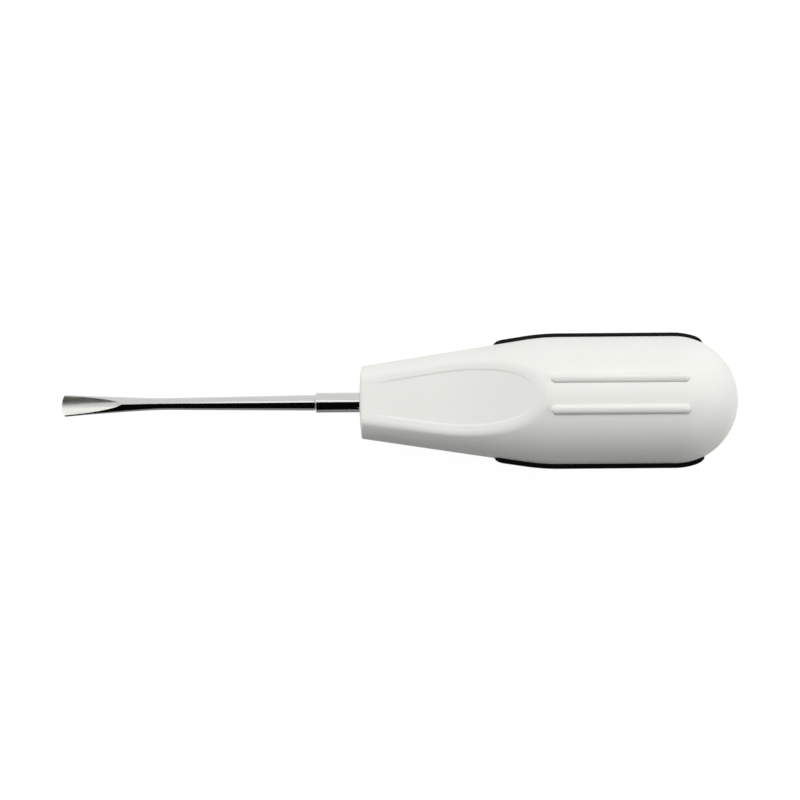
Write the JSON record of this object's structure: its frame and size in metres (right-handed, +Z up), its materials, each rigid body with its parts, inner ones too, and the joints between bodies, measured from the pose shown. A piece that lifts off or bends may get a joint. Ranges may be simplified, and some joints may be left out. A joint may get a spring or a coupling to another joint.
{
  "type": "luxating root elevator",
  "caption": "Dental root elevator with a hollow-ground gouge blade, a slightly bent steel shank and a pear-shaped white handle with thumb flats, ribs and black rubber side strips.",
  "frame": {"origin": "middle of the length and width, at the height of the crowns of the underside ribs", "axes": "X along the instrument with the blade towards -X, Y across it from strip to strip, +Z up out of the hollow of the blade and the upper thumb flat"},
  "size_m": [0.15, 0.03, 0.0291],
  "materials": {
    "polished_steel": "polished, with fine lengthwise grinding lines",
    "white_plastic": "satin moulded",
    "black_rubber": "matt"
  },
  "bodies": {
    "root": {"blade_shank": "polished_steel", "handle_body": "white_plastic", "grip_strip_left": "black_rubber", "grip_strip_right": "black_rubber"}
  },
  "joints": []
}
